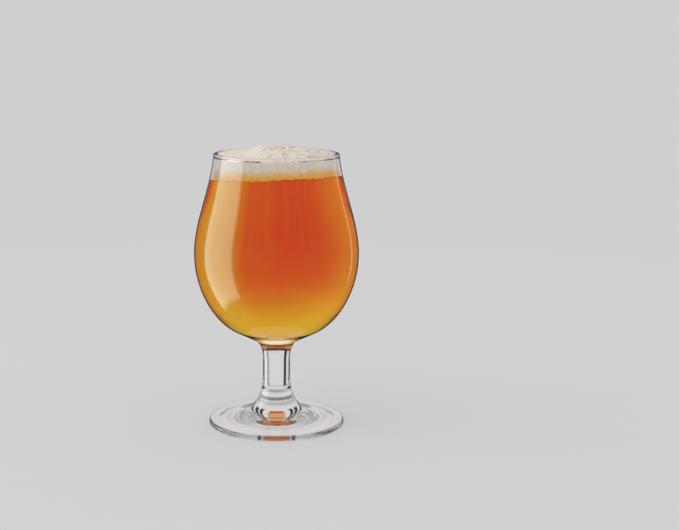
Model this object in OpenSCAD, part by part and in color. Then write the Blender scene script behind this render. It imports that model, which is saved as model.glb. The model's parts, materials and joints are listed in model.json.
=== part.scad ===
// Stemmed tulip beer glass, filled: bowl, stem and foot of clear glass, beer and a head of foam.
// Every piece is a solid of revolution about the Z axis. The origin is on the table, under the stem.
// Each outline is made of cubic curves: two ends, and a reach that says how far each end keeps its direction.

/* [Bowl] */
// Height of the rim above the collar
bowl_h = 104.9; // [95:0.1:115]
// Outside radius of the wall at the rim
rim_r = 34.3; // [30:0.1:38]
// Lean of the wall at the rim, in degrees from upright
rim_lean = 6.2; // [2:0.1:10]
// Reach of the lean below the rim
rim_reach = 21.5; // [15:0.1:26]
// Outside radius of the belly, the widest ring
belly_r = 45.6; // [42:0.1:49]
// Height of the belly above the collar
belly_rise = 49.1; // [44:0.1:54]
// Reach of the upright wall above the belly
belly_reach_up = 18.5; // [12:0.1:24]
// Reach of the upright wall below the belly
belly_reach_down = 19.3; // [14:0.1:24]
// Radius of the shoulder, where the bottom's straight slope begins
shoulder_r = 23.7; // [20:0.1:27]
// Slope of the bowl's bottom, in degrees from level
bottom_slope = 26.4; // [20:0.1:30]
// Reach of that slope outside the shoulder
shoulder_reach = 13.1; // [8:0.1:16]

/* [Glass thickness] */
// Wall from the rim to the belly, measured level
wall = 1.6; // [1.2:0.1:2.4]
// Wall at the shoulder, measured square to it
shoulder_wall = 2.6; // [1.8:0.1:3.4]
// Glass on the axis, from the collar up to the bottom of the drink
floor_t = 6; // [4:0.1:8]
// Reach of the inside's slope towards the axis
floor_reach = 9; // [8:0.1:15]
// Radius of the rounded bead round the rim
bead_r = 1.15; // [1:0.05:1.6]
// How far the bead stands out of the wall
bead_proud = 0.3; // [0:0.05:0.5]

/* [Stem] */
// Height of the collar above the table
collar_h = 47.5; // [42:0.1:60]
// Radius of the collar's sharp edge
collar_r = 11.2; // [10:0.1:13]
// Fall of the flare under the collar, in degrees from level
flare_fall = 45; // [40:0.5:60]
// Reach of that fall under the collar
flare_reach = 5; // [3:0.1:6]
// Drop of the flare from the collar to the straight part
flare_drop = 12.8; // [9:0.1:14]
// Reach of the straight part up into the flare
flare_end_reach = 5.3; // [2:0.1:7]
// Radius of the straight part
stem_r = 7.6; // [6:0.1:9]

/* [Foot] */
// Radius of the foot over its rounded edge
foot_r = 38; // [35:0.1:42]
// Thickness of the foot at its edge
edge_t = 3; // [2:0.1:4]
// Height where the trumpet flare begins
trumpet_h = 27.7; // [22:0.1:31]
// Reach of the stem's line down into the trumpet
trumpet_reach = 17.6; // [12:0.1:20]
// Slope of the foot's top at its edge, in degrees
foot_slope = 4.5; // [1:0.1:8]
// Reach of that slope in from the edge
foot_reach = 20.7; // [14:0.1:24]
// Height of the joint between the stem and the foot, as a share of the trumpet's curve
joint_share = 0.5; // [0.4:0.05:0.6]
// Width of the flat ring that the glass stands on
ring_w = 3; // [2:0.1:5]
// Height of the hollow under the foot on the axis
hollow_h = 2.2; // [1:0.1:3]
// Reach of the hollow's flat middle
hollow_reach = 16; // [8:0.1:20]

/* [Drink] */
// Depth of the foam from the beer to the rim
foam_depth = 12.9; // [6:0.1:25]
// Gap between the bead and the ring where the foam leaves the wall
foam_gap = 0.3; // [0.1:0.1:2]
// Height of the foam's dome above the rim
dome_rise = 4.6; // [1:0.1:9]
// Reach of the dome's level top
dome_reach = 12; // [8:0.1:24]
// Reach of the dome's steep edge
dome_edge_reach = 3; // [2:0.1:6]

/* [Hidden] */
$fn = 96;
rim_h = collar_h + bowl_h;
belly_h = collar_h + belly_rise;
shoulder_h = collar_h + (shoulder_r - collar_r) * tan(bottom_slope);
bead_axis_r = rim_r + bead_proud - bead_r;
bead_axis_h = rim_h - bead_r;
straight_h = collar_h - flare_drop;
floor_h = collar_h + floor_t;
beer_h = rim_h - foam_depth;
foam_edge_h = rim_h - 2 * bead_r - foam_gap;
dome_h = rim_h + dome_rise;
edge_r = foot_r - edge_t / 2;
ring_in_r = edge_r - ring_w;
inside_rim_r = rim_r - wall;
inside_belly_r = belly_r - wall;
inside_shoulder_r = shoulder_r - shoulder_wall * sin(bottom_slope);
inside_shoulder_h = shoulder_h + shoulder_wall * cos(bottom_slope);
curve_steps = 20;
short_steps = 10;

// A point that lies a reach away from another, in a direction in degrees from level
function toward(from, reach, angle) = from + reach * [cos(angle), sin(angle)];

// The points of a cubic curve from a to d, pulled towards b and c
function curve(a, b, c, d, steps) = [
    for (i = [0 : steps])
        let (t = i / steps, s = 1 - t)
            s * s * s * a + 3 * s * s * t * b + 3 * s * t * t * c + t * t * t * d
];

// A wall's line from the rim ring down to the belly ring
function upper_line(top_r, wide_r) = curve(
    [top_r, rim_h],
    toward([top_r, rim_h], rim_reach, rim_lean - 90),
    [wide_r, belly_h + belly_reach_up],
    [wide_r, belly_h],
    curve_steps
);

// A wall's line from the belly ring down to a shoulder point
function lower_line(wide_r, shoulder) = curve(
    [wide_r, belly_h],
    [wide_r, belly_h - belly_reach_down],
    toward(shoulder, shoulder_reach, bottom_slope),
    shoulder,
    curve_steps
);

inside_shoulder = [inside_shoulder_r, inside_shoulder_h];

// The inside's bottom, from the shoulder to the axis
floor_line = curve(
    inside_shoulder,
    toward(inside_shoulder, -floor_reach, bottom_slope),
    [floor_reach, floor_h],
    [0, floor_h],
    short_steps
);

// The flare under the collar
flare_line = curve(
    [collar_r, collar_h],
    toward([collar_r, collar_h], -flare_reach, flare_fall),
    [stem_r, straight_h + flare_end_reach],
    [stem_r, straight_h],
    short_steps
);

// The trumpet from the stem out to the foot's edge, shared by the stem and the foot
trumpet_line = curve(
    [stem_r, trumpet_h],
    [stem_r, trumpet_h - trumpet_reach],
    toward([edge_r, edge_t], -foot_reach, -foot_slope),
    [edge_r, edge_t],
    curve_steps
);
joint_at = round(joint_share * curve_steps);
joint_h = trumpet_line[joint_at][1];

// The hollow under the foot, from the standing ring to the axis
hollow_line = curve(
    [ring_in_r, 0],
    [ring_in_r - hollow_reach / 2, hollow_h],
    [hollow_reach, hollow_h],
    [0, hollow_h],
    short_steps
);

// The space inside the bowl, up to a level above the foam
module inside() {
    rotate_extrude()
        polygon(concat(
            [[0, dome_h], [inside_rim_r, dome_h]],
            upper_line(inside_rim_r, inside_belly_r),
            lower_line(inside_belly_r, inside_shoulder),
            floor_line
        ));
}

// The bowl: a thin wall, a thick bottom and a bead round the rim
module bowl() {
    color([0.90, 0.93, 0.93, 0.4]) {
        difference() {
            rotate_extrude()
                polygon(concat(
                    [[0, bead_axis_h], [rim_r + bead_r * tan(rim_lean), bead_axis_h]],
                    [for (p = upper_line(rim_r, belly_r)) if (p[1] < bead_axis_h) p],
                    lower_line(belly_r, [shoulder_r, shoulder_h]),
                    [[collar_r, collar_h], [0, collar_h]]
                ));
            inside();
        }
        rotate_extrude()
            translate([bead_axis_r, bead_axis_h])
                circle(r = bead_r);
    }
}

// The stem: a collar flare, a straight part and the top of the trumpet
module stem() {
    color([0.88, 0.92, 0.92, 0.5])
        rotate_extrude()
            polygon(concat(
                [[0, collar_h]],
                flare_line,
                [for (i = [0 : joint_at]) trumpet_line[i]],
                [[0, joint_h]]
            ));
}

// The foot: the trumpet's skirt, a rounded edge, a standing ring and a hollow underside
module foot() {
    color([0.88, 0.92, 0.92, 0.5]) {
        rotate_extrude()
            polygon(concat(
                [[0, joint_h]],
                [for (i = [joint_at : curve_steps]) trumpet_line[i]],
                [[edge_r, 0]],
                hollow_line
            ));
        rotate_extrude()
            translate([edge_r, edge_t / 2])
                circle(d = edge_t);
    }
}

// The beer fills the inside up to the foam
module beer() {
    color([0.85, 0.42, 0.08, 0.9])
        intersection() {
            inside();
            cylinder(r = belly_r, h = beer_h);
        }
}

// The foam: a plug inside the wall with a dome that stands above the rim
module foam_head() {
    color([0.95, 0.91, 0.83])
        intersection() {
            inside();
            rotate_extrude()
                polygon(concat(
                    [[0, beer_h], [belly_r, beer_h], [belly_r, foam_edge_h]],
                    curve(
                        [inside_rim_r, foam_edge_h],
                        [inside_rim_r - dome_edge_reach, foam_edge_h + dome_edge_reach],
                        [dome_reach, dome_h],
                        [0, dome_h],
                        short_steps
                    )
                ));
        }
}

bowl();
stem();
foot();
beer();
foam_head();
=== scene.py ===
# %% [markdown]
# # A filled tulip beer glass
# The real thing is one piece of clear pressed and blown glass that holds a hazy amber beer under a head
# of foam. This lesson loads the measured solids first, and then makes each visible piece as a mesh that
# lies where its solid lies: the glass, the beer and the foam. Everything is in metres, with the table
# at height 0.

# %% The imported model
import json
import math

import bpy
import numpy as np
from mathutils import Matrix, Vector

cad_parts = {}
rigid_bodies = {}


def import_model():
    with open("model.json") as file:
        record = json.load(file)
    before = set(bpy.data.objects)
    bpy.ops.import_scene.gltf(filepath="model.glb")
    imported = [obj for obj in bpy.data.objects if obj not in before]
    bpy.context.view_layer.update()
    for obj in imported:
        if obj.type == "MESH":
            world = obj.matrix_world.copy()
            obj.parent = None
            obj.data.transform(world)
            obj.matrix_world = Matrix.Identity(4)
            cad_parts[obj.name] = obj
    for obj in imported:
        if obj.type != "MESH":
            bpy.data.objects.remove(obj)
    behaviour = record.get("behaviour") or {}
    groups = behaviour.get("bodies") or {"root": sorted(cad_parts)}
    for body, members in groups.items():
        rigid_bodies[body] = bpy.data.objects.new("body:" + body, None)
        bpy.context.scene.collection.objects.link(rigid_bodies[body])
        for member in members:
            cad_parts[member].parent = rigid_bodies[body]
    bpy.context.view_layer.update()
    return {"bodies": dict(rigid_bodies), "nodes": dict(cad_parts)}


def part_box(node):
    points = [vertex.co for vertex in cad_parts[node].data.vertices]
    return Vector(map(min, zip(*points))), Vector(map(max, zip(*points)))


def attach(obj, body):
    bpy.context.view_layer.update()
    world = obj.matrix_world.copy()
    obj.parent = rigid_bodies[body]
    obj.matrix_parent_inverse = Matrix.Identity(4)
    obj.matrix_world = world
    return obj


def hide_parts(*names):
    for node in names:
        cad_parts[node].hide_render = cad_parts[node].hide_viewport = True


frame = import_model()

mm = 0.001
bodies = list(frame["bodies"])
print("bodies:", bodies, "solids:", sorted(frame["nodes"]))

# %% [markdown]
# ## Sizes
# The solids say how high and how wide the glass is, so those sizes are read from their boxes. The
# curves between them can't be read from a box. They are the same cubic curves that the solids have: two
# ends, and a reach that says how far each end keeps its direction. A handful of reaches and slopes
# describes the whole glass. Slopes, leans and falls are in degrees.

# %% Sizes read from the solids
bowl_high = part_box("bowl")[1]
beer_low, beer_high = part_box("beer")

rim_h = bowl_high.z
belly_r = bowl_high.x
collar_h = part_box("stem")[1].z
foot_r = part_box("foot")[1].x
floor_h = beer_low.z
beer_h = beer_high.z
dome_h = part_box("foam_head")[1].z
wall = belly_r - beer_high.x
print(f"rim {rim_h / mm:.1f}, wall {wall / mm:.2f} mm")
print(f"radius of the belly {belly_r / mm:.1f}, of the foot {foot_r / mm:.1f} mm")

# %% Sizes of the curves between them
rim_r = 34.3 * mm
rim_lean = 6.2
rim_reach = 21.5 * mm
belly_h = collar_h + 49.1 * mm
belly_reach_up = 18.5 * mm
belly_reach_down = 19.3 * mm
shoulder_r = 23.7 * mm
bottom_slope = 26.4
shoulder_reach = 13.1 * mm
shoulder_wall = 2.6 * mm
floor_reach = 9 * mm
bead_r = 1.15 * mm
bead_proud = 0.3 * mm
bead_from = -20
bead_to = 205
collar_r = 11.2 * mm
flare_fall = 45
flare_reach = 5 * mm
flare_drop = 12.8 * mm
flare_end_reach = 5.3 * mm
stem_r = 7.6 * mm
edge_t = 3 * mm
trumpet_h = 27.7 * mm
trumpet_reach = 17.6 * mm
foot_slope = 4.5
foot_reach = 20.7 * mm
ring_w = 3 * mm
hollow_h = 2.2 * mm
hollow_reach = 16 * mm
foam_gap = 0.3 * mm
mound_edge_reach = 4 * mm
mound_reach = 20 * mm

# %% Places that follow from those sizes
def slope(degrees):
    """A step of length 1 in an outline, in degrees from level."""
    return np.array([math.cos(math.radians(degrees)), math.sin(math.radians(degrees))])


shoulder_h = collar_h + (shoulder_r - collar_r) * math.tan(math.radians(bottom_slope))
shoulder = np.array([shoulder_r, shoulder_h])
inside_shoulder = shoulder + shoulder_wall * slope(bottom_slope + 90)
edge_r = foot_r - edge_t / 2
foam_edge_h = rim_h - 2 * bead_r - foam_gap
print(f"shoulder at {shoulder / mm} mm, foam leaves the wall at {foam_edge_h / mm:.1f} mm")

# %% [markdown]
# ## The outline of the glass
# Blown glass has no corners but one, the crease of the collar, so its outline is cubic curves and two
# arcs. A lathe is the natural way to make it: one closed outline, turned about the axis. The bowl, stem
# and foot are welded hot, and no surface is left inside the joints. So all three are one mesh here.
# Three touching meshes would each bend the light again at the joints, which real glass doesn't do.

# %% Curves and arcs of an outline
def curve(a, b, c, d, steps):
    """Points of a cubic curve from a to d, pulled towards b and c."""
    t = np.linspace(0, 1, steps + 1)[:, None]
    s = 1 - t
    return s**3 * np.array(a) + 3 * s**2 * t * np.array(b) + 3 * s * t**2 * np.array(c) + t**3 * np.array(d)


def arc(centre, radius, first, last, steps):
    """Points of an arc from one angle to another, in degrees from level."""
    return np.array([centre + radius * slope(a) for a in np.linspace(first, last, steps + 1)])


def wall_line(inset, low_end, steps):
    """A wall's line from the rim over the belly to a shoulder point, a distance inside the outer one."""
    top = np.array([rim_r - inset, rim_h])
    wide = belly_r - inset
    over = curve(
        top,
        top + rim_reach * slope(rim_lean - 90),
        (wide, belly_h + belly_reach_up),
        (wide, belly_h),
        steps,
    )
    under = curve(
        (wide, belly_h),
        (wide, belly_h - belly_reach_down),
        low_end + shoulder_reach * slope(bottom_slope),
        low_end,
        steps,
    )
    return np.concatenate([over, under[1:]])


def floor_line(drop, steps):
    """The bottom of the drink, from the shoulder to the axis, lowered by a distance."""
    low_end = inside_shoulder + drop * slope(bottom_slope - 90)
    sloping = low_end - floor_reach * slope(bottom_slope)
    return curve(low_end, sloping, (floor_reach, floor_h - drop), (0, floor_h - drop), steps)


# %% The whole outline, from under the foot to the bottom of the drink
fine_steps = 56
short_steps = 20
edge_steps = 14
ring_in_r = edge_r - ring_w
hollow = curve(
    (0, hollow_h),
    (hollow_reach, hollow_h),
    (ring_in_r - hollow_reach / 2, hollow_h),
    (ring_in_r, 0),
    short_steps,
)
foot_edge = arc(np.array([edge_r, edge_t / 2]), edge_t / 2, -90, 90, edge_steps)
trumpet = curve(
    (edge_r, edge_t),
    np.array([edge_r, edge_t]) + foot_reach * slope(180 - foot_slope),
    (stem_r, trumpet_h - trumpet_reach),
    (stem_r, trumpet_h),
    fine_steps,
)
flare = curve(
    (stem_r, collar_h - flare_drop),
    (stem_r, collar_h - flare_drop + flare_end_reach),
    np.array([collar_r, collar_h]) - flare_reach * slope(flare_fall),
    (collar_r, collar_h),
    short_steps,
)
bead_centre = np.array([rim_r + bead_proud - bead_r, rim_h - bead_r])
bead = arc(bead_centre, bead_r, bead_from, bead_to, short_steps)
outer = wall_line(0, shoulder, fine_steps)[::-1]
inner = wall_line(wall, inside_shoulder, fine_steps)
glass_outline = np.concatenate([
    hollow,
    foot_edge,
    trumpet[1:],
    flare,
    outer[outer[:, 1] < bead[0][1] - bead_r / 2],
    bead,
    inner[inner[:, 1] < bead[-1][1] - bead_r / 2][:-1],
    floor_line(0, short_steps),
])
print(f"glass outline: {len(glass_outline)} points")

# %% [markdown]
# ## A lathe for closed outlines
# A turned mesh is a grid: rings up the outline and points round each ring. Where the outline meets the
# axis, the ring shrinks to one point and its faces are triangles. Doing it in code keeps the ends
# clean. A screw modifier would leave doubled points on the axis, and glass shows each of them.

# %% Turning an outline into a mesh
def turn(name, rings, crease=30):
    """A closed mesh from rings x points x 3 numbers. The first and the last ring are each one point."""
    count = rings.shape[1]
    places = [rings[0, 0], *rings[1:-1].reshape(-1, 3), rings[-1, 0]]
    last = len(places) - 1
    faces = []
    for j in range(count):
        k = (j + 1) % count
        faces.append((0, 1 + k, 1 + j))
        for i in range(len(rings) - 3):
            low, high = 1 + i * count, 1 + (i + 1) * count
            faces.append((low + j, low + k, high + k, high + j))
        end = 1 + (len(rings) - 3) * count
        faces.append((end + j, end + k, last))
    mesh = bpy.data.meshes.new(name)
    mesh.from_pydata([tuple(p) for p in places], [], faces)
    mesh.shade_smooth()
    mesh.set_sharp_from_angle(angle=math.radians(crease))
    piece = bpy.data.objects.new(name, mesh)
    bpy.context.scene.collection.objects.link(piece)
    print(f"{name}: {len(faces)} faces")
    return piece


def lathe(outline, count):
    """The rings of an outline, turned about the axis."""
    turns = np.linspace(0, 2 * math.pi, count, endpoint=False)
    r, h = outline[:, 0, None], outline[:, 1, None]
    return np.stack([r * np.cos(turns), r * np.sin(turns), h + 0 * turns], axis=-1)


# %% The glass
round_steps = 256
glass = turn("clear_glass", lathe(glass_outline, round_steps))

# %% [markdown]
# ## The line between beer and foam
# The line isn't level. It stands higher at the front and at the right, and small bubbles make it
# uneven. Two slopes give the tilt, a few slow waves round the glass the sag, and many quick ones the
# bumps. Beer and foam share this one function, so they always meet.

# %% Waves round the glass
dice = np.random.default_rng(7)


def random_waves(number, low, high):
    """Some waves, each as (turns round the glass, phase, height)."""
    return [
        (int(dice.integers(low, high)), dice.uniform(0, 2 * math.pi), dice.uniform(0.4, 1))
        for _ in range(number)
    ]


slow_waves = random_waves(number=4, low=3, high=8)
quick_waves = random_waves(number=14, low=20, high=70)
highest_sum = 1.6


def wavy(turns, waves):
    """The sum of some waves, about -1 to 1."""
    total = sum(height * np.sin(number * turns + phase) for number, phase, height in waves)
    return total / math.sqrt(sum(height**2 for _, _, height in waves)) / highest_sum


# %% The line, as a height above the floor plan
line_front = 0.04
line_right = 0.035
side_drop = 0.5
bump_h = 0.35


def beer_line(x, y):
    """The height of the line between beer and foam above a point of the floor plan."""
    turns = np.arctan2(y, x)
    out = np.hypot(x, y) / rim_r
    front = -y / rim_r
    right = x / rim_r
    tilt = (line_front * front + line_right * right) * rim_r / mm - side_drop * right**2
    bumps = bump_h * wavy(turns, slow_waves) + bump_h * wavy(turns, quick_waves)
    return beer_h + (tilt + bumps * out) * mm


print(f"line at the front {beer_line(0, -rim_r) / mm:.1f}, left {beer_line(-rim_r, 0) / mm:.1f} mm")

# %% [markdown]
# ## The beer
# Beer wets the glass, so no air lies between them. The beer's mesh reaches a hair into the wall: light
# that enters the wall then meets the beer before it can leave the glass, and bends as it does from
# glass to beer. With a gap, the bowl would turn into a silvery mirror. The top of the beer reaches a
# hair into the foam, for the same reason.

# %% Beer rings from the axis below to the axis on top
soak = 0.12 * mm
turned_end = 6 * mm
top_lift = 0.5 * mm
side_rings = 10
# The ring just inside the brim is where the top reaches its full lift.
top_shares = [0.985, *np.linspace(0.97, 0, 22)]
beer_wall = wall_line(wall - soak, inside_shoulder - soak * slope(bottom_slope + 90), fine_steps)


def wall_radius(h, inset):
    """The radius of the wall's inside at a height, made smaller by an inset."""
    return np.interp(h, beer_wall[::-1, 1], beer_wall[::-1, 0]) - soak - inset


def beer_rings(count):
    """Rings of the beer: its bottom and side as turned, its top on the beer line."""
    low = np.concatenate([floor_line(soak, short_steps)[::-1][:-1], beer_wall[::-1]])
    low = low[low[:, 1] < beer_h - turned_end]
    rings = list(lathe(low, count))
    turns = np.linspace(0, 2 * math.pi, count, endpoint=False)
    side = rings[-1]
    for share in np.linspace(0, 1, side_rings)[1:]:
        edge_h = beer_line(rim_r * np.cos(turns), rim_r * np.sin(turns))
        h = side[:, 2] + share * (edge_h - side[:, 2])
        r = wall_radius(h, -soak)
        rings.append(np.stack([r * np.cos(turns), r * np.sin(turns), h], axis=-1))
    brim = rings[-1]
    for share in top_shares:
        x, y = brim[:, 0] * share, brim[:, 1] * share
        rings.append(np.stack([x, y, beer_line(x, y) + top_lift], axis=-1))
    rings[-1][:] = rings[-1].mean(axis=0)
    return np.array(rings)


beer = turn("amber_beer", beer_rings(round_steps))

# %% [markdown]
# ## The foam
# A head of foam is thousands of bubbles. The big ones show on top, where they have grown and burst, and
# the fine ones make the smooth cream against the glass. Real spheres would be far too many, so the top
# is a fine grid whose height is that of a mound plus the highest bubble under each point. Against the
# glass it is flat, with a hair of air between: dry froth doesn't wet the wall, and wet froth would look
# dark.

# %% Bubbles of the top
air = 0.05 * mm
foam_r = float(wall_radius(foam_edge_h, air))
bubble_count = 2600
smallest_bubble = 0.35 * mm
bubble_range = 1.1 * mm
# The two numbers of a beta distribution, which give many small bubbles and few big ones.
mostly_small = (1.2, 4.5)
bubble_at = foam_r * np.sqrt(dice.uniform(0, 1, bubble_count))
bubble_turn = dice.uniform(0, 2 * math.pi, bubble_count)
bubble_x = bubble_at * np.cos(bubble_turn)
bubble_y = bubble_at * np.sin(bubble_turn)
bubble_r = smallest_bubble + bubble_range * dice.beta(*mostly_small, bubble_count)
bubble_sink = bubble_r * dice.uniform(0.35, 1.0, bubble_count)


def bubble_height(x, y):
    """How far the highest bubble stands above the mound at each point."""
    highest = np.zeros_like(x)
    for bx, by, br, sink in zip(bubble_x, bubble_y, bubble_r, bubble_sink):
        near = br**2 - (x - bx)**2 - (y - by)**2
        highest = np.maximum(highest, np.sqrt(np.maximum(near, 0)) - sink)
    return highest


# %% The mound under the bubbles
mound_steps = 40
lump_count = 26
mound = curve(
    (foam_r, foam_edge_h),
    (foam_r - mound_edge_reach, foam_edge_h + mound_edge_reach),
    (mound_reach, dome_h),
    (0, dome_h),
    mound_steps,
)
# Each lump has a place, a width and a rise.
lumps = [
    (dice.uniform(-1, 1, 2) * foam_r, dice.uniform(5, 9) * mm, dice.uniform(-0.8, 0.5) * mm)
    for _ in range(lump_count)
]
sunk_from = 7 * mm
sunk_over = 12 * mm
sunk_share = 0.85
lump_edge = 6 * mm
bubble_room = 0.7 * mm


def mound_height(x, y):
    """The height of the foam's dome, sunk at the left, with its soft lumps."""
    r = np.hypot(x, y)
    height = np.interp(r, mound[::-1, 0], mound[::-1, 1])
    left = np.clip((-x - sunk_from) / sunk_over, 0, 1)
    height = height - sunk_share * left**2 * (3 - 2 * left) * np.maximum(height - rim_h, 0)
    fade = np.clip((foam_r - r) / lump_edge, 0, 1)
    for (lx, ly), width, rise in lumps:
        height = height + fade * rise * np.exp(-((x - lx)**2 + (y - ly)**2) / width**2)
    return height - bubble_room * fade


# %% Foam rings from the axis below to the axis on top
bubble_edge = 1.5 * mm
under_rings = 24
wall_rings = 16
dome_rings = 110
crowding = 0.85
foam_steps = 360


def foam_rings(count):
    """Rings of the foam: its underside on the beer line, its side on the wall, and its bubbly top."""
    turns = np.linspace(0, 2 * math.pi, count, endpoint=False)
    rings = []
    for share in np.linspace(0, 1, under_rings):
        h = beer_line(rim_r * share * np.cos(turns), rim_r * share * np.sin(turns))
        r = wall_radius(h, air) * share
        rings.append(np.stack([r * np.cos(turns), r * np.sin(turns), h], axis=-1))
    rings[0][:] = rings[0].mean(axis=0)
    low = rings[-1][:, 2]
    for share in np.linspace(0, 1, wall_rings)[1:]:
        h = low + share * (foam_edge_h - low)
        r = wall_radius(h, air)
        rings.append(np.stack([r * np.cos(turns), r * np.sin(turns), h], axis=-1))
    for share in np.linspace(1, 0, dome_rings)[1:]:
        r = foam_r * share**crowding
        x, y = r * np.cos(turns), r * np.sin(turns)
        stands = np.clip((foam_r - r) / bubble_edge, 0, 1)
        rings.append(np.stack([x, y, mound_height(x, y) + stands * bubble_height(x, y)], axis=-1))
    rings[-1][:] = rings[-1].mean(axis=0)
    rings = np.array(rings)
    height = rings[:, :, 2]
    highest = height.max()
    print(f"foam reaches {highest / mm:.2f} mm, the solid {dome_h / mm:.2f} mm")
    squash = (dome_h - foam_edge_h) / (highest - foam_edge_h)
    rings[:, :, 2] = np.where(height > foam_edge_h, foam_edge_h + (height - foam_edge_h) * squash, height)
    return rings


foam = turn("beer_foam", foam_rings(foam_steps), crease=180)

# %% [markdown]
# ## Shader maths
# Each finish is a small program of nodes. Wrapping a socket in a class lets the program read like plain
# maths: `1 - mask * 0.5` adds its Math nodes by itself. Colours go through Mix nodes, since a Math node
# would turn them grey.

# %% A wrapped socket and a graph of nodes
class Wire:
    """An output socket that can be used in plain maths."""

    def __init__(self, graph, node, output=0):
        self.graph = graph
        self.node = node
        self.output = output

    def at(self, output):
        """Another output of the same node, by its name or number."""
        return Wire(self.graph, self.node, output)

    def __add__(self, other):
        return self.graph.maths("ADD", self, other)

    __radd__ = __add__

    def __sub__(self, other):
        return self.graph.maths("SUBTRACT", self, other)

    def __rsub__(self, other):
        return self.graph.maths("SUBTRACT", other, self)

    def __mul__(self, other):
        return self.graph.maths("MULTIPLY", self, other)

    __rmul__ = __mul__

    def __pow__(self, other):
        return self.graph.maths("POWER", self, other)


class Graph:
    """The nodes of one material or world."""

    def __init__(self, owner):
        owner.use_nodes = True
        self.tree = owner.node_tree
        self.tree.nodes.clear()

    def add(self, kind, settings=None, sockets=None):
        """Makes any node: its settings first, then the values or wires of its sockets."""
        node = self.tree.nodes.new(kind)
        for name, value in (settings or {}).items():
            setattr(node, name, value)
        for key, value in (sockets or {}).items():
            if isinstance(value, Wire):
                self.tree.links.new(value.node.outputs[value.output], node.inputs[key])
            else:
                node.inputs[key].default_value = value
        return Wire(self, node)

    def maths(self, operation, first, second=0.0):
        """A Math node, by its operation."""
        return self.add("ShaderNodeMath", {"operation": operation}, {0: first, 1: second})

    def degrees(self, across, along):
        """The angle of a level direction, in degrees from one axis towards another."""
        return self.maths("ARCTAN2", across, along) * (180 / math.pi)

    def blend(self, factor, first, second):
        """A colour between two others, with the Mix node's colour sockets."""
        return self.add("ShaderNodeMix", {"data_type": "RGBA"}, {0: factor, 6: first, 7: second}).at(2)

    def ramp(self, factor, low, high):
        """0 below low, 1 above high and smooth between."""
        limits = {"Value": factor, "From Min": low, "From Max": high}
        return self.add("ShaderNodeMapRange", {"interpolation_type": "SMOOTHSTEP"}, limits)

    def band(self, value, low, high, soft):
        """1 between low and high, with soft ends."""
        return self.ramp(value, low - soft, low + soft) * (1 - self.ramp(value, high - soft, high + soft))

    def place(self):
        """The place on the piece, in metres, as it is modelled."""
        return self.add("ShaderNodeTexCoord").at("Object")

    def off_axis(self, place):
        """How far a place is from the upright axis."""
        flat = self.add("ShaderNodeVectorMath", {"operation": "MULTIPLY"}, {0: place, 1: (1, 1, 0)})
        return self.add("ShaderNodeVectorMath", {"operation": "LENGTH"}, {0: flat}).at("Value")

    def grazing(self):
        """0 where the surface is seen square on, 1 where it is seen edge on."""
        return self.add("ShaderNodeLayerWeight", sockets={"Blend": 0.5}).at("Facing")

    def parts(self, vector):
        """The three numbers of a vector."""
        split = self.add("ShaderNodeSeparateXYZ", sockets={0: vector})
        return [split.at(i) for i in range(3)]

    def noise(self, vector, scale, detail=2.0):
        """Soft noise about 0.5."""
        return self.add("ShaderNodeTexNoise", sockets={"Vector": vector, "Scale": scale, "Detail": detail})


def colour(red, green, blue):
    """An opaque colour."""
    return (red, green, blue, 1)


# %% [markdown]
# ## Clear glass
# Soda-lime glass bends light at 1.52 and takes almost none of it. What makes it look real is what is
# not perfect: the slow waves that pressing leaves in the stem and foot. A faint bump makes them.
#
# Two things darken it, and both are painted. Edge on, glass mirrors and bends its dark surroundings, so
# the outline turns dark; a dark tint and a mix with a matt dark shader paint that shade, by how squarely
# the surface is seen. And the thick foot gathers dark and amber light from all round: painted dark
# streaks and a painted amber spot on its edge, and painted dark arcs round the trumpet. These marks are
# masks by place, because they would take a whole furnished studio to come about by themselves.

# %% Painted shade and glow on the edge of the foot and round the trumpet
# Painted shade: the dark of the outline, and of the matt shader mixed in there.
outline_shade = colour(0.03, 0.02, 0.016)
# Painted glow: the amber of light from the beer that reaches the foot's edge.
painted_amber_glow = colour(0.72, 0.16, 0.06)
# Sizes of the painted marks: the glow spot, the dark end marks, the dark streaks and the two dark arcs.
spot_half = 7.25 * mm
mark_half = 9.25 * mm
streaks_from = 15 * mm
streaks_full = 24 * mm
low_arc = (15.2 * mm, 16.9 * mm)
high_arc = (19.3 * mm, 19.8 * mm)


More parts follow.
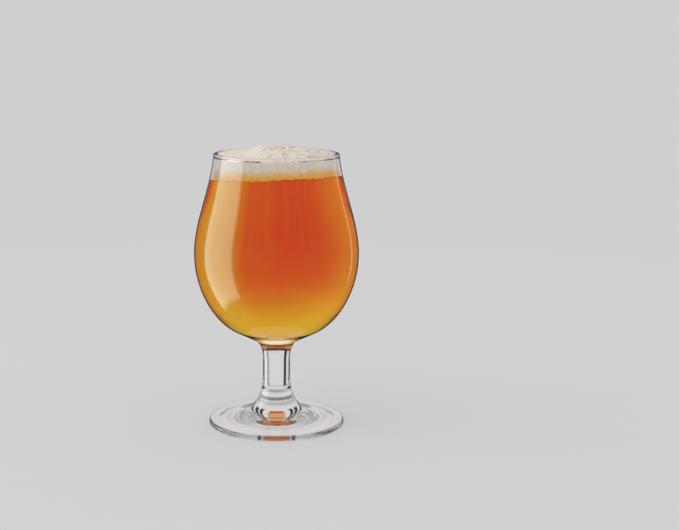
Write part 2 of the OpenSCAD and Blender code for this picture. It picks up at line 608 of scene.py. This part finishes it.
def foot_painted_light(graph, tint, place):
    """The tint with painted dark streaks and end marks and a painted amber glow spot on the foot's edge,
    and two painted dark arcs round the trumpet.
    """
    x, y, height = graph.parts(place)
    aside = graph.maths("ABSOLUTE", x)
    in_front = graph.ramp(y * -1, 0, 5 * mm)
    outside = graph.ramp(graph.off_axis(place), edge_r + 0.2 * mm, edge_r + 0.7 * mm)
    edge = outside * (1 - graph.ramp(height, edge_t + 1 * mm, edge_t + 2 * mm))

    # Painted shade: dark streaks on the edge, more of them towards the sides.
    drawn_out = graph.add("ShaderNodeVectorMath", {"operation": "MULTIPLY"}, {0: place, 1: (1, 1, 16)})
    streaks = graph.ramp(graph.noise(drawn_out, 60), 0.42, 0.58)
    streaks = streaks * graph.ramp(aside, streaks_from, streaks_full)
    # Painted shade: dark marks at the ends of the glow spot, in front.
    ends = graph.band(aside, mark_half - 1.25 * mm, mark_half + 1.25 * mm, 1 * mm) * in_front
    tint = graph.blend(edge * (streaks * 0.8 + ends), tint, colour(0.03, 0.025, 0.025))
    # Painted glow: an amber spot on the front of the edge.
    spot = edge * (1 - graph.ramp(aside, spot_half - 0.75 * mm, spot_half + 0.75 * mm)) * in_front
    tint = graph.blend(spot, tint, painted_amber_glow)

    # Painted shade: two dark arcs round the trumpet, fainter where it is seen edge on.
    arcs = graph.band(height, *low_arc, 0.3 * mm) * 0.8 + graph.band(height, *high_arc, 0.2 * mm) * 0.6
    arcs = arcs * (1 - graph.ramp(graph.grazing(), 0.4, 0.65))
    return graph.blend(arcs, tint, colour(0.05, 0.035, 0.03))


# %% The painted dark outline
outline_from = 0.84
outline_soft = 0.06
outline_most = 0.95
wider_on_bowl = 0.1
wider_on_stem = 0.17


def outline(graph, place):
    """How dark the painted shade of the outline is: wider on the stem, and on the bowl's front and back."""
    y, height = graph.parts(place)[1:]
    above_foot = graph.ramp(height, 8 * mm, 13 * mm)
    head_on = graph.maths("ABSOLUTE", y) * graph.ramp(height, collar_h, shoulder_h)
    head_on = graph.maths("DIVIDE", head_on, graph.off_axis(place))
    on_stem = graph.band(height, trumpet_h - 2 * mm, collar_h - 10 * mm, 3 * mm)
    start = outline_from - head_on**2 * wider_on_bowl - on_stem * wider_on_stem
    return graph.ramp(graph.grazing(), start, start + outline_soft) * above_foot * outline_most


# %% The finish of the glass
def clear_glass():
    """Clear glass with slow waves, a painted dark outline and the painted shade and glow of the foot."""
    material = bpy.data.materials.new("clear_glass")
    graph = Graph(material)
    place = graph.place()
    height = graph.parts(place)[2]
    waves = graph.noise(place, 55, detail=1)
    smudge = graph.ramp(graph.noise(place, 140, detail=3), 0.5, 0.8)
    # Painted shade: the glass turns dark where it is seen edge on.
    painted_edge_shade = graph.ramp(graph.grazing(), 0.80, 0.88) * graph.ramp(height, 8 * mm, 13 * mm)
    tint = foot_painted_light(graph, graph.blend(painted_edge_shade, colour(1, 1, 1), outline_shade), place)
    bump = graph.add("ShaderNodeBump", sockets={"Strength": 0.25, "Distance": 0.2 * mm, "Height": waves})
    clear = graph.add(
        "ShaderNodeBsdfPrincipled",
        sockets={
            "Base Color": tint,
            "Roughness": smudge * 0.012,
            "IOR": 1.52,
            "Transmission Weight": 1,
            "Normal": bump,
        },
    )
    # A matt dark shader, mixed in at the outline, paints shade there.
    dark = graph.add(
        "ShaderNodeBsdfPrincipled",
        sockets={"Base Color": outline_shade, "Roughness": 0.9, "Specular IOR Level": 0},
    )
    shader = graph.add("ShaderNodeMixShader", sockets={0: outline(graph, place), 1: clear, 2: dark})
    graph.add("ShaderNodeOutputMaterial", sockets={"Surface": shader})
    print(f"{material.name}: {len(graph.tree.nodes)} nodes")
    return material


glass.data.materials.append(clear_glass())

# %% [markdown]
# ## Beer
# Hazy beer takes out blue first and green next, so a long way through it turns from straw to orange to
# red. Volume absorption does a part of that by itself, but a studio light from behind shows it far more
# strongly. So a tint on the surface adds the rest. It is red where the beer is deep and seen square on,
# and gold near the outline, where the way through is short. Near the bottom the way is short too, and
# the gold there is also a painted glow of light from below. On the side of the tall light a painted
# straw highlight stands in for the light that the haze scatters back.

# %% The colours of the beer
red = colour(0.73, 0.148, 0.056)
straw = colour(0.75, 1.0, 0.05)
gold_low = colour(1.0, 0.88, 0.40)
gold_high = colour(0.98, 1.0, 0.05)
cloud_h = 12 * mm
# Where the painted straw highlight lies: from, to and softness, in degrees round the glass from its front.
highlight_front = (-66, -30, 9)
highlight_behind = (-178, -140, 20)


def beer_tint(graph, place, clouds):
    """Gold at the bottom, partly a painted glow, gold near the outline, red in the middle, and a painted
    straw highlight where the tall light falls.
    """
    x, y, height = graph.parts(place)
    level = height + (clouds - 0.5) * cloud_h
    # Painted glow, in part: gold towards the bottom, where the way through is short, and for light from
    # below glowing through the haze.
    full = graph.ramp(level, collar_h + 8 * mm, collar_h + 43 * mm)
    short_way = graph.ramp(graph.grazing(), 0.03, 0.28) * 0.72
    low = graph.ramp(height, collar_h + 7 * mm, collar_h + 10 * mm)
    tint = graph.blend(full * (1 - short_way), graph.blend(low, gold_low, gold_high), red)
    # Painted highlight: straw where the tall light falls, in front and faintly behind.
    around = graph.degrees(x, y * -1)
    painted_highlight_side = graph.band(around, *highlight_front) * 0.8 + graph.band(around, *highlight_behind) * 0.25
    return graph.blend(painted_highlight_side * full, tint, straw)


# %% The finish of the beer
def amber_beer():
    """Beer: tinted on its surface, with a painted glow and a painted highlight, and darker with depth."""
    material = bpy.data.materials.new("amber_beer")
    graph = Graph(material)
    place = graph.place()
    clouds = graph.noise(place, 30, detail=3)
    tint = beer_tint(graph, place, clouds)
    shader = graph.add(
        "ShaderNodeBsdfPrincipled",
        sockets={
            "Base Color": tint,
            "Roughness": 0.03 + clouds * 0.03,
            "IOR": 1.34,
            "Specular IOR Level": 1,
            "Specular Tint": colour(0.1, 1.0, 0.2),
            "Transmission Weight": 0.97,
        },
    )
    depth = graph.add(
        "ShaderNodeVolumeAbsorption",
        sockets={"Color": colour(0.99, 0.45, 0.30), "Density": 18},
    )
    graph.add("ShaderNodeOutputMaterial", sockets={"Surface": shader, "Volume": depth})
    print(f"{material.name}: {len(graph.tree.nodes)} nodes")
    return material


beer.data.materials.append(amber_beer())

# %% [markdown]
# ## Foam
# Foam is white because light bounces between its bubbles. Its top has darker tan patches, most of them
# at the right, and the last millimetres above the beer are golden, because they are wet. A cell pattern
# draws the films between fine bubbles, and noise makes the patches. The golden part follows the tilt of
# the beer line.

# %% The finish of the foam
wet_from = 0.9 * mm
wet_to = 6.5 * mm
wet_fray = 6 * mm


def beer_foam():
    """Cream foam with darker tan patches, most at the right, golden next to the beer."""
    material = bpy.data.materials.new("beer_foam")
    graph = Graph(material)
    place = graph.place()
    x, y, height = graph.parts(place)
    feature = {"feature": "DISTANCE_TO_EDGE"}
    cells = graph.add("ShaderNodeTexVoronoi", feature, {"Vector": place, "Scale": 900})
    films = graph.ramp(cells, 0.0, 0.16)
    mottle = graph.noise(place, 330, detail=3)
    top = graph.ramp(height, foam_edge_h, foam_edge_h + 3 * mm)
    # More of the darker tan patches lie at the right.
    right_share = 0.1 + graph.ramp(x, -12 * mm, -2 * mm) * 0.9
    hollow = graph.ramp(mottle, 0.49, 0.6) * top * right_share
    cream = graph.blend(hollow, colour(0.80, 0.71, 0.645), colour(0.46, 0.36, 0.26))
    fine = graph.blend(films, colour(0.90, 0.83, 0.70), cream)
    line = beer_h + x * line_right - y * line_front
    wet = 1 - graph.ramp(height - line + (mottle - 0.5) * wet_fray, wet_from, wet_to)
    tone = graph.blend(wet, fine, colour(0.96, 0.49, 0.035))
    relief = films + mottle
    bump = graph.add("ShaderNodeBump", sockets={"Strength": 0.5, "Distance": 0.4 * mm, "Height": relief})
    shader = graph.add(
        "ShaderNodeBsdfPrincipled",
        sockets={"Base Color": tone, "Roughness": 0.55 + mottle * 0.3, "Normal": bump},
    )
    graph.add("ShaderNodeOutputMaterial", sockets={"Surface": shader})
    print(f"{material.name}: {len(graph.tree.nodes)} nodes")
    return material


foam.data.materials.append(beer_foam())

# %% [markdown]
# ## Riding on the solids
# Each piece says which solids it stands for and which finish it takes. The glass has no joints, so
# everything rides on the one body.

# %% Pieces and their solids
stands_for = {
    glass: (("bowl", "stem", "foot"), "clear_glass"),
    beer: (("beer",), "amber_beer"),
    foam: (("foam_head",), "beer_foam"),
}
for piece, (solids, finish) in stands_for.items():
    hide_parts(*solids)
    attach(piece, bodies[0])
print({piece.name: solids for piece, (solids, _) in stands_for.items()})

# %% [markdown]
# ## The floor
# Glass is photographed on a pale sweep that fills the frame. A disc with a soft edge does the same:
# near the glass it takes its shadow, and further out it fades into the world behind it. For light that
# has come through glass the disc opens up just outside the foot, so that the foot bends the pale ground
# of the world.

# %% A pale floor that fades out
back_tone = colour(0.625, 0.625, 0.63)
floor_r = 1.6
floor_steps = 96
fades_from = 0.3
faded_at = 0.9
open_from = foot_r + 3 * mm
open_full = foot_r + 7 * mm


def floor_finish():
    """A matt floor that turns clear towards its edge."""
    material = bpy.data.materials.new("pale_floor")
    graph = Graph(material)
    out = graph.off_axis(graph.place())
    far = graph.ramp(out, fades_from, faded_at)
    ray = graph.add("ShaderNodeLightPath")
    through = ray.at("Is Transmission Ray")
    looked_at = graph.maths("MAXIMUM", ray.at("Is Camera Ray"), through)
    open_at = far + through * (1 - far) * graph.ramp(out, open_from, open_full)
    matt = graph.add("ShaderNodeBsdfDiffuse", sockets={"Color": colour(0.68, 0.68, 0.69)})
    even = graph.add("ShaderNodeEmission", sockets={"Color": back_tone, "Strength": through * 0.1 + 1})
    clear = graph.add("ShaderNodeBsdfTransparent")
    share = looked_at * 0.65 + through * 0.3
    ground = graph.add("ShaderNodeMixShader", sockets={0: share, 1: matt, 2: even})
    shader = graph.add("ShaderNodeMixShader", sockets={0: open_at, 1: ground, 2: clear})
    graph.add("ShaderNodeOutputMaterial", sockets={"Surface": shader})
    return material


floor_turns = np.linspace(0, 2 * math.pi, floor_steps, endpoint=False)
floor_mesh = bpy.data.meshes.new("pale_floor")
floor_mesh.from_pydata(
    [(floor_r * math.cos(a), floor_r * math.sin(a), 0) for a in floor_turns],
    [],
    [tuple(range(floor_steps))],
)
floor = bpy.data.objects.new("pale_floor", floor_mesh)
bpy.context.scene.collection.objects.link(floor)
floor.data.materials.append(floor_finish())
floor.visible_glossy = False
print(f"floor: {floor_r:.1f} m, opens at {open_from / mm:.0f} mm for light through glass")

# %% [markdown]
# ## Light
# Clear glass shows only what it mirrors and bends, so the light is a world, drawn by direction: a pale
# ground behind the glass, dark strips beside it, and one tall soft light at the left. A studio has the
# same things as paper, black card and a softbox. Here the way that light took says which of them it
# meets: straight through the glass, mirrored inside it, mirrored by its outside, or onto the matt foam
# and floor. So each can be set without changing the others.

# %% Directions of the world
world = bpy.data.worlds.new("studio")
bpy.context.scene.world = world
sky = Graph(world)
right, back, up = sky.parts(sky.add("ShaderNodeTexCoord").at("Generated"))
turn_right = sky.degrees(right, back)
off_back = sky.maths("ABSOLUTE", turn_right)
off_quarter = 45 - sky.maths("ABSOLUTE", sky.maths("MODULO", off_back, 90) - 45)
rise = sky.maths("ARCSINE", up) * (180 / math.pi)
# A band has a start, an end and a softness: in degrees for turns and rises, from -1 to 1 for up.
tall_side = sky.band(turn_right, -116, -62, 3)
ray = sky.add("ShaderNodeLightPath")
dark = colour(0.025, 0.022, 0.02)
through_tone = colour(0.69, 0.68, 0.68)

# %% [markdown]
# ## Light that comes through the glass
# The stem is a strong lens: straight through it, a few degrees of the world fill its whole width. Dark
# strips there draw the stem's inner lines, and a dark band draws the line under the bowl. Light that
# was mirrored once in the foot comes out of the trumpet, where dark fans give the arcs and a warm patch
# gives the glowing arch. Light that was mirrored often gives the fine rings round them. The strips and
# fans come again each quarter turn, so the glass looks alike from four sides.

# %% Straight through
level = sky.band(rise, -50, 50, 6)
weaker = 1 - 0.35 * sky.band(turn_right, 0, 45, 5)
strips = sky.band(off_quarter, 24, 36, 1.5) * level * weaker
over = sky.band(rise, 9, 42, 1.5)
straight = sky.blend(sky.maths("MAXIMUM", strips, over), through_tone, dark)

# %% Mirrored once, and mirrored often
fan_at = off_quarter - rise * 0.4
fans = sky.band(fan_at, 12, 17.5, 1) + sky.band(fan_at, 20.5, 27.5, 1) + sky.ramp(off_quarter, 39, 43)
once = sky.blend(fans * sky.band(rise, 6, 60, 3), through_tone, dark)
front_or_back = 1 - sky.band(off_back, 50, 130, 5)
arch = sky.band(rise, 12, 64, 2) * (1 - sky.ramp(fan_at, 1, 4)) * front_or_back
warm = sky.blend(sky.ramp(rise, 19, 25), colour(0.50, 0.08, 0.03), colour(0.66, 0.34, 0.14))
once = sky.blend(arch, once, warm)
once = sky.blend(tall_side, once, colour(1.3, 1.2, 1.4))
often = sky.blend(sky.band(rise, 4, 52, 3), through_tone, colour(0.32, 0.315, 0.31))

# %% All that comes through, by the number of mirrorings and surfaces
# Depths are whole numbers, so each ramp lies between two of them.
mirrorings = ray.at("Glossy Depth")
is_mirrored = sky.ramp(mirrorings, 0.2, 0.8)
is_often = sky.ramp(mirrorings, 2.2, 2.8)
clear_only = 1 - sky.ramp(ray.at("Transmission Depth"), 3.2, 3.8)
through_glass = sky.blend(is_often, sky.blend(is_mirrored, straight, once), often)
through_beer = sky.blend(is_mirrored, colour(0.78, 0.80, 0.66), colour(1.3, 1.2, 1.1))
seen_through = sky.blend(clear_only, through_beer, through_glass)

# %% [markdown]
# ## What the outside mirrors
# The bowl mirrors the tall soft light as one long strip, and a narrow light at the right as a thin
# line. Between them the world is nearly black, or the mirror image would wash out the beer. It is pale
# only behind the glass, and a dull gold below it, which warms the underside of the bowl.

# %% Mirrored by the outside
tall_light = tall_side * sky.band(up, -0.66, 0.65, 0.04)
narrow_light = sky.band(turn_right, 49, 53, 1.5) * sky.band(up, -0.35, 0.2, 0.1)
behind = 1 - sky.ramp(off_back, 14, 34)
under = sky.ramp(up * -1, 0.45, 0.7) * sky.ramp(back, -0.5, 0.05)
ground_tone = sky.blend(sky.ramp(rise, -5, 2), colour(0.05, 0.04, 0.035), back_tone)
mirrored = sky.blend(behind, colour(0.045, 0.045, 0.05), ground_tone)
mirrored = sky.blend(under, mirrored, colour(0.30, 0.30, 0.12))
mirrored = sky.blend(narrow_light, mirrored, colour(1.1, 1.1, 1.2))
mirrored = sky.blend(tall_light, mirrored, colour(2.6, 2.95, 2.8))

# %% [markdown]
# ## Even light, and the whole world
# Foam and floor are matt and take one even light, a little brighter from above. Behind the glass it is
# stronger, since each surface of the glass keeps some light back. The camera itself sees one flat tone.

# %% Joining the lights
even = sky.blend(sky.ramp(up, -0.6, 1), colour(0.72, 0.72, 0.73), colour(0.86, 0.85, 0.83))
even_through = sky.add("ShaderNodeVectorMath", {"operation": "SCALE"}, {0: even, "Scale": 1.8})
even = sky.blend(ray.at("Is Transmission Ray"), even, even_through)
shown = sky.blend(ray.at("Is Transmission Ray"), mirrored, seen_through)
shown = sky.blend(ray.at("Is Camera Ray"), shown, back_tone)
is_matt = sky.maths("MINIMUM", ray.at("Diffuse Depth"), 1)
ground = sky.add("ShaderNodeBackground", sockets={"Color": sky.blend(is_matt, shown, even), "Strength": 1})
sky.add("ShaderNodeOutputWorld", sockets={"Surface": ground})
print(f"world: {len(sky.tree.nodes)} nodes")

# %% [markdown]
# ## A lamp over the glass
# The even light alone leaves the foam flat. One soft lamp above and to the left gives its bubbles a
# bright and a dark side. The glass itself neither mirrors nor bends it.

# %% A soft lamp
def soft_lamp(name, place, aim, width, height, power):
    """A flat lamp that lights matt surfaces only: the camera and the glass don't see it."""
    lamp = bpy.data.lights.new(name, "AREA")
    lamp.shape = "RECTANGLE"
    lamp.size = width
    lamp.size_y = height
    lamp.energy = power
    holder = bpy.data.objects.new(name, lamp)
    holder.location = place
    holder.rotation_euler = (Vector(aim) - Vector(place)).to_track_quat("-Z", "Y").to_euler()
    holder.visible_camera = False
    holder.visible_glossy = False
    holder.visible_transmission = False
    bpy.context.scene.collection.objects.link(holder)
    return holder


top_lamp = soft_lamp("top_softbox", (-0.5, -0.35, 0.9), (0, 0, 0.12), 0.6, 0.6, 1.2)
print(f"{top_lamp.name}: {top_lamp.data.energy} W")

# %% [markdown]
# ## Long ways through glass
# Light that enters the foot runs along inside it, mirrored from face to face, before it gets out. The
# usual limit of four mirrorings would leave such places black, so the limits are raised.

# %% Longer light paths
paths = bpy.context.scene.cycles
paths.max_bounces = 32
paths.glossy_bounces = 24
paths.transmission_bounces = 24
print("bounces:", paths.max_bounces)

# %% [markdown]
# ## The camera
# The picture was taken from a little above the rim, with a long lens. The camera stands at that
# distance and height, and the lens is shifted so that the glass stands left of the middle, as in the
# photograph.

# %% The camera
image_w, image_h = 679, 530
focal_px = 1330
axis_px = (276.5, 292)
aim_h = 75 * mm
camera_back = 727.4 * mm
camera_h = 217.9 * mm

lens = bpy.data.cameras.new("camera")
lens.sensor_width = 36
lens.lens = focal_px / image_w * lens.sensor_width
lens.shift_x = (image_w / 2 - axis_px[0]) / image_w
lens.shift_y = (axis_px[1] - image_h / 2) / image_w
lens.clip_start = 0.01
camera = bpy.data.objects.new("camera", lens)
camera.location = (0, -camera_back, camera_h)
pitch = math.atan2(camera_h - aim_h, camera_back)
camera.rotation_euler = (math.pi / 2 - pitch, 0, 0)
bpy.context.scene.collection.objects.link(camera)
bpy.context.scene.camera = camera
bpy.context.scene.view_settings.view_transform = "Standard"
print(f"lens {lens.lens:.1f} mm, {math.degrees(pitch):.1f} degrees down")
print(f"shift {lens.shift_x:.3f} across, {lens.shift_y:.3f} up")
